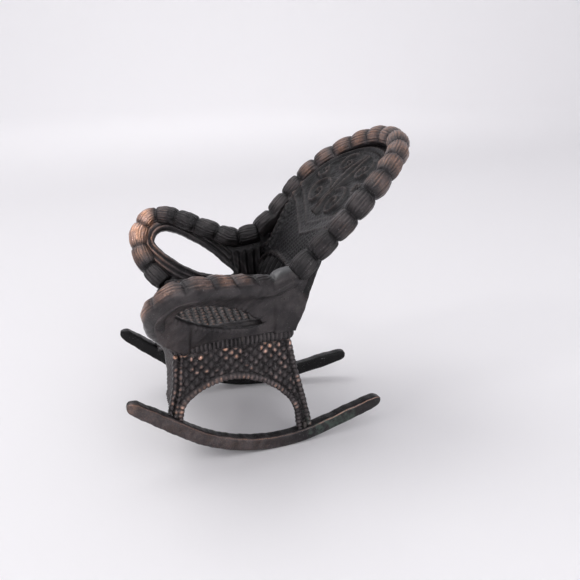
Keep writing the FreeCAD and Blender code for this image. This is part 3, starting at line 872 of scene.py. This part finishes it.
def metal(name, recess, dark, light, copper, rough=0.36):
    """Antiqued plate: black in the recesses, brown-black patina above them, copper rubbed through
    where the mesh says, and a little verdigris."""
    material = bpy.data.materials.new(name)
    material.use_nodes = True
    tree = material.node_tree
    nodes, links = tree.nodes, tree.links
    shader = nodes["Principled BSDF"]
    coordinates = nodes.new("ShaderNodeTexCoord")

    def noise(scale, detail=4.0, roughness=0.6):
        node = nodes.new("ShaderNodeTexNoise")
        node.inputs["Scale"].default_value = scale
        node.inputs["Detail"].default_value = detail
        node.inputs["Roughness"].default_value = roughness
        links.new(coordinates.outputs["Object"], node.inputs["Vector"])
        return node.outputs["Fac"]

    def ramp(source, low, high):
        node = nodes.new("ShaderNodeMapRange")
        node.interpolation_type = "SMOOTHSTEP"
        node.inputs["From Min"].default_value = low
        node.inputs["From Max"].default_value = high
        links.new(source, node.inputs["Value"])
        return node.outputs["Result"]

    def maths(kind, a, b):
        node = nodes.new("ShaderNodeMath")
        node.operation = kind
        for socket, value in zip(node.inputs, (a, b)):
            if isinstance(value, (int, float)):
                socket.default_value = value
            else:
                links.new(value, socket)
        return node.outputs[0]

    def blend(factor, a, b):
        node = nodes.new("ShaderNodeMix")
        node.data_type = "RGBA"
        links.new(factor, node.inputs[0])
        for socket, value in ((node.inputs[6], a), (node.inputs[7], b)):
            if isinstance(value, tuple):
                socket.default_value = (*value, 1)
            else:
                links.new(value, socket)
        return node.outputs[2]

    def attribute(label):
        node = nodes.new("ShaderNodeAttribute")
        node.attribute_name = label
        return node.outputs["Fac"]

    patches = ramp(noise(260, 5), 0.35, 0.68)
    fine = noise(2600, 3)
    wear = attribute("wear")
    raised = ramp(wear, 0.0, 0.22)
    base = blend(raised, recess, blend(patches, dark, light))
    grain = maths("ADD", maths("MULTIPLY", 1.2, noise(1000, 6, 0.72)), maths("MULTIPLY", 1.1, noise(3600, 3)))
    broken = maths("MULTIPLY", wear, maths("SUBTRACT", grain, 0.2))
    mask = ramp(broken, 0.12, 0.8)
    tint = blend(ramp(noise(420, 2), 0.4, 0.6), copper, PALE_COPPER)
    base = blend(attribute("grey"), base, BARE_GREY)
    colour = blend(mask, base, tint)
    dust = ramp(maths("ADD", fine, maths("MULTIPLY", 0.25, noise(330, 3))), 0.74, 0.92)
    colour = blend(maths("MULTIPLY", 0.35, dust), colour, DUST)
    verdigris = ramp(maths("MULTIPLY", attribute("green"), noise(700, 4)), 0.28, 0.6)
    colour = blend(maths("MULTIPLY", 0.62, verdigris), colour, VERDIGRIS)
    links.new(colour, shader.inputs["Base Color"])
    metallic = maths("ADD", 0.55, maths("MULTIPLY", 0.45, mask))
    links.new(maths("MULTIPLY", metallic, maths("SUBTRACT", 1.0, verdigris)), shader.inputs["Metallic"])
    roughness = maths("ADD", rough, maths("MULTIPLY", 0.4, maths("SUBTRACT", noise(800, 4), 0.5)))
    links.new(maths("SUBTRACT", roughness, maths("MULTIPLY", 0.08, mask)), shader.inputs["Roughness"])
    bump = nodes.new("ShaderNodeBump")
    bump.inputs["Strength"].default_value = 0.5
    bump.inputs["Distance"].default_value = 0.00012
    pitting = maths("ADD", noise(1500, 5, 0.65), maths("MULTIPLY", 0.6, noise(4200, 2)))
    links.new(pitting, bump.inputs["Height"])
    links.new(bump.outputs["Normal"], shader.inputs["Normal"])
    return material


# Each material: the colour of its recesses, of its dark and light patina, and of the bared metal
COPPER = (0.58, 0.33, 0.225)
PATINA = metal("antiqued_copper_patina", (0.005, 0.0045, 0.005), (0.034, 0.030, 0.032),
               (0.085, 0.074, 0.075), COPPER)
# The same patina made much darker as painted shade, for the seat's cane and the whole back panel, whose front
# face lies inside the chair between the arms.
PAINTED_SHADE_PATINA = metal("antiqued_copper_patina_painted_shade", (0.003, 0.003, 0.0032), (0.012, 0.011, 0.012),
                    (0.036, 0.033, 0.034), COPPER)
STAND_PATINA = metal("antiqued_copper_stand", (0.013, 0.011, 0.0115), (0.048, 0.041, 0.042),
                     (0.115, 0.096, 0.096), COPPER)
ROLL_PATINA = metal("antiqued_copper_roll", (0.005, 0.0045, 0.005), (0.030, 0.0265, 0.028),
                    (0.076, 0.066, 0.067), COPPER)
PIN_METAL = metal("peened_pin", (0.08, 0.07, 0.065), (0.10, 0.09, 0.085), (0.2, 0.18, 0.17),
                  (0.5, 0.4, 0.33))


def finish_piece(piece, node=None, material=None):
    piece.data.materials.append(material or PATINA)
    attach(piece, BODY)
    if node:
        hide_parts(node)


# ---------------------------------------------------------------- the room

def make_floor():
    """A pale round board that curves up into a wall all round the chair."""
    flat_r, bend_r, top, spokes = 0.9, 0.6, 1.7, 96
    z = cad_low[2] - 0.00002
    section = [(0.3, z), (flat_r, z)]
    for i in range(1, 25):
        a = math.radians(90 * i / 24)
        section.append((flat_r + bend_r * math.sin(a), z + bend_r * (1 - math.cos(a))))
    section.append((flat_r + bend_r, top))
    verts = [(r * math.cos(2 * math.pi * k / spokes), r * math.sin(2 * math.pi * k / spokes), h)
             for r, h in section for k in range(spokes)]
    faces = [tuple(range(spokes))]
    for i in range(len(section) - 1):
        for k in range(spokes):
            a, b = i * spokes + k, i * spokes + (k + 1) % spokes
            faces.append((a, a + spokes, b + spokes, b))
    mesh = bpy.data.meshes.new("floor")
    mesh.from_pydata(verts, [], faces)
    mesh.polygons.foreach_set("use_smooth", [True] * len(mesh.polygons))
    floor = bpy.data.objects.new("floor", mesh)
    bpy.context.collection.objects.link(floor)
    material = bpy.data.materials.new("pale_board")
    material.use_nodes = True
    shader = material.node_tree.nodes["Principled BSDF"]
    shader.inputs["Base Color"].default_value = (0.86, 0.845, 0.855, 1)
    shader.inputs["Roughness"].default_value = 0.6
    floor.data.materials.append(material)


def add_light(name, position, target, size, power, colour=(1, 1, 1)):
    light = bpy.data.lights.new(name, "AREA")
    light.energy = power
    light.size = size
    light.color = colour
    lamp = bpy.data.objects.new(name, light)
    lamp.location = position
    lamp.rotation_euler = (Vector(target) - Vector(position)).to_track_quat("-Z", "Y").to_euler()
    bpy.context.collection.objects.link(lamp)


def make_lights():
    middle = (cad_low + cad_high) / 2
    add_light("overhead", (-0.16, -0.22, 0.60), middle, size=0.40, power=1.0, colour=(1.0, 0.99, 0.98))
    add_light("window", (0.50, 0.12, 0.30), middle, size=0.45, power=0.9, colour=(0.98, 0.99, 1.0))
    add_light("glint", (0.20, -0.45, 0.45), middle, size=0.08, power=0.35, colour=(1.0, 0.98, 0.97))
    add_light("backdrop", (-0.6, 0.1, 0.6), (-1.5, 0.0, 0.25), size=0.5, power=2.0)
    world = bpy.data.worlds.new("room")
    world.use_nodes = True
    world.node_tree.nodes["Background"].inputs["Color"].default_value = (0.95, 0.96, 1.0, 1)
    world.node_tree.nodes["Background"].inputs["Strength"].default_value = 0.9
    bpy.context.scene.world = world


def make_camera():
    """A close view from the sitter's left, a little to the front and from above."""
    azimuth = math.radians(CAMERA_AZIMUTH_DEG)
    elevation = math.radians(CAMERA_ELEVATION_DEG)
    tilt = math.radians(CAMERA_TILT_DEG)
    back = np.array([math.sin(azimuth) * math.cos(elevation), -math.cos(azimuth) * math.cos(elevation),
                     math.sin(elevation)])
    right = np.array([math.cos(azimuth), math.sin(azimuth), 0.0])
    up = np.cross(back, right)
    aim = np.array([0, 0, CAMERA_AIM_HEIGHT]) + FRAME_SHIFT
    position = back * CAMERA_DISTANCE + aim + right * CAMERA_SLIDE_RIGHT + up * CAMERA_SLIDE_UP
    tilted_right = right * math.cos(tilt) + up * math.sin(tilt)
    tilted_up = -right * math.sin(tilt) + up * math.cos(tilt)
    camera = bpy.data.cameras.new("camera")
    camera.sensor_width = CAMERA_SENSOR
    camera.lens = CAMERA_LENS
    camera.clip_start = 0.005
    rig = bpy.data.objects.new("camera", camera)
    matrix = Matrix([[tilted_right[i], tilted_up[i], back[i], position[i] * MM] for i in range(3)]
                    + [[0, 0, 0, 1]])
    rig.matrix_world = matrix
    bpy.context.collection.objects.link(rig)
    bpy.context.scene.camera = rig


make_camera()
make_floor()
make_lights()
bpy.context.scene.view_settings.view_transform = "Standard"

for label, sign in (("left", 1), ("right", -1)):
    make_rocker("rocker_" + label + "_cast", sign, "rocker_" + label)
    make_side("stand_side_" + label + "_weave", sign, "stand_side_" + label)
    make_arm_wall("arm_" + label + "_wall", sign, "arm_" + label)
    make_arm_roll("arm_" + label + "_roll", sign)
make_end_skirt("stand_front_weave", SIDE_FRONT_EDGE, FRONT_ARCH, True, FRONT_SKIRT_THICKNESS, "stand_front")
make_end_skirt("stand_rear_weave", SIDE_REAR_EDGE, REAR_ARCH, False, REAR_SKIRT_THICKNESS, "stand_rear")
make_seat()
make_cane()
make_back_panel()
make_back_roll()

for node in ("rocker_pins", "stand_pins", "arm_pins", "back_pins"):
    for material_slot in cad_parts[node].material_slots:
        material_slot.material = PIN_METAL
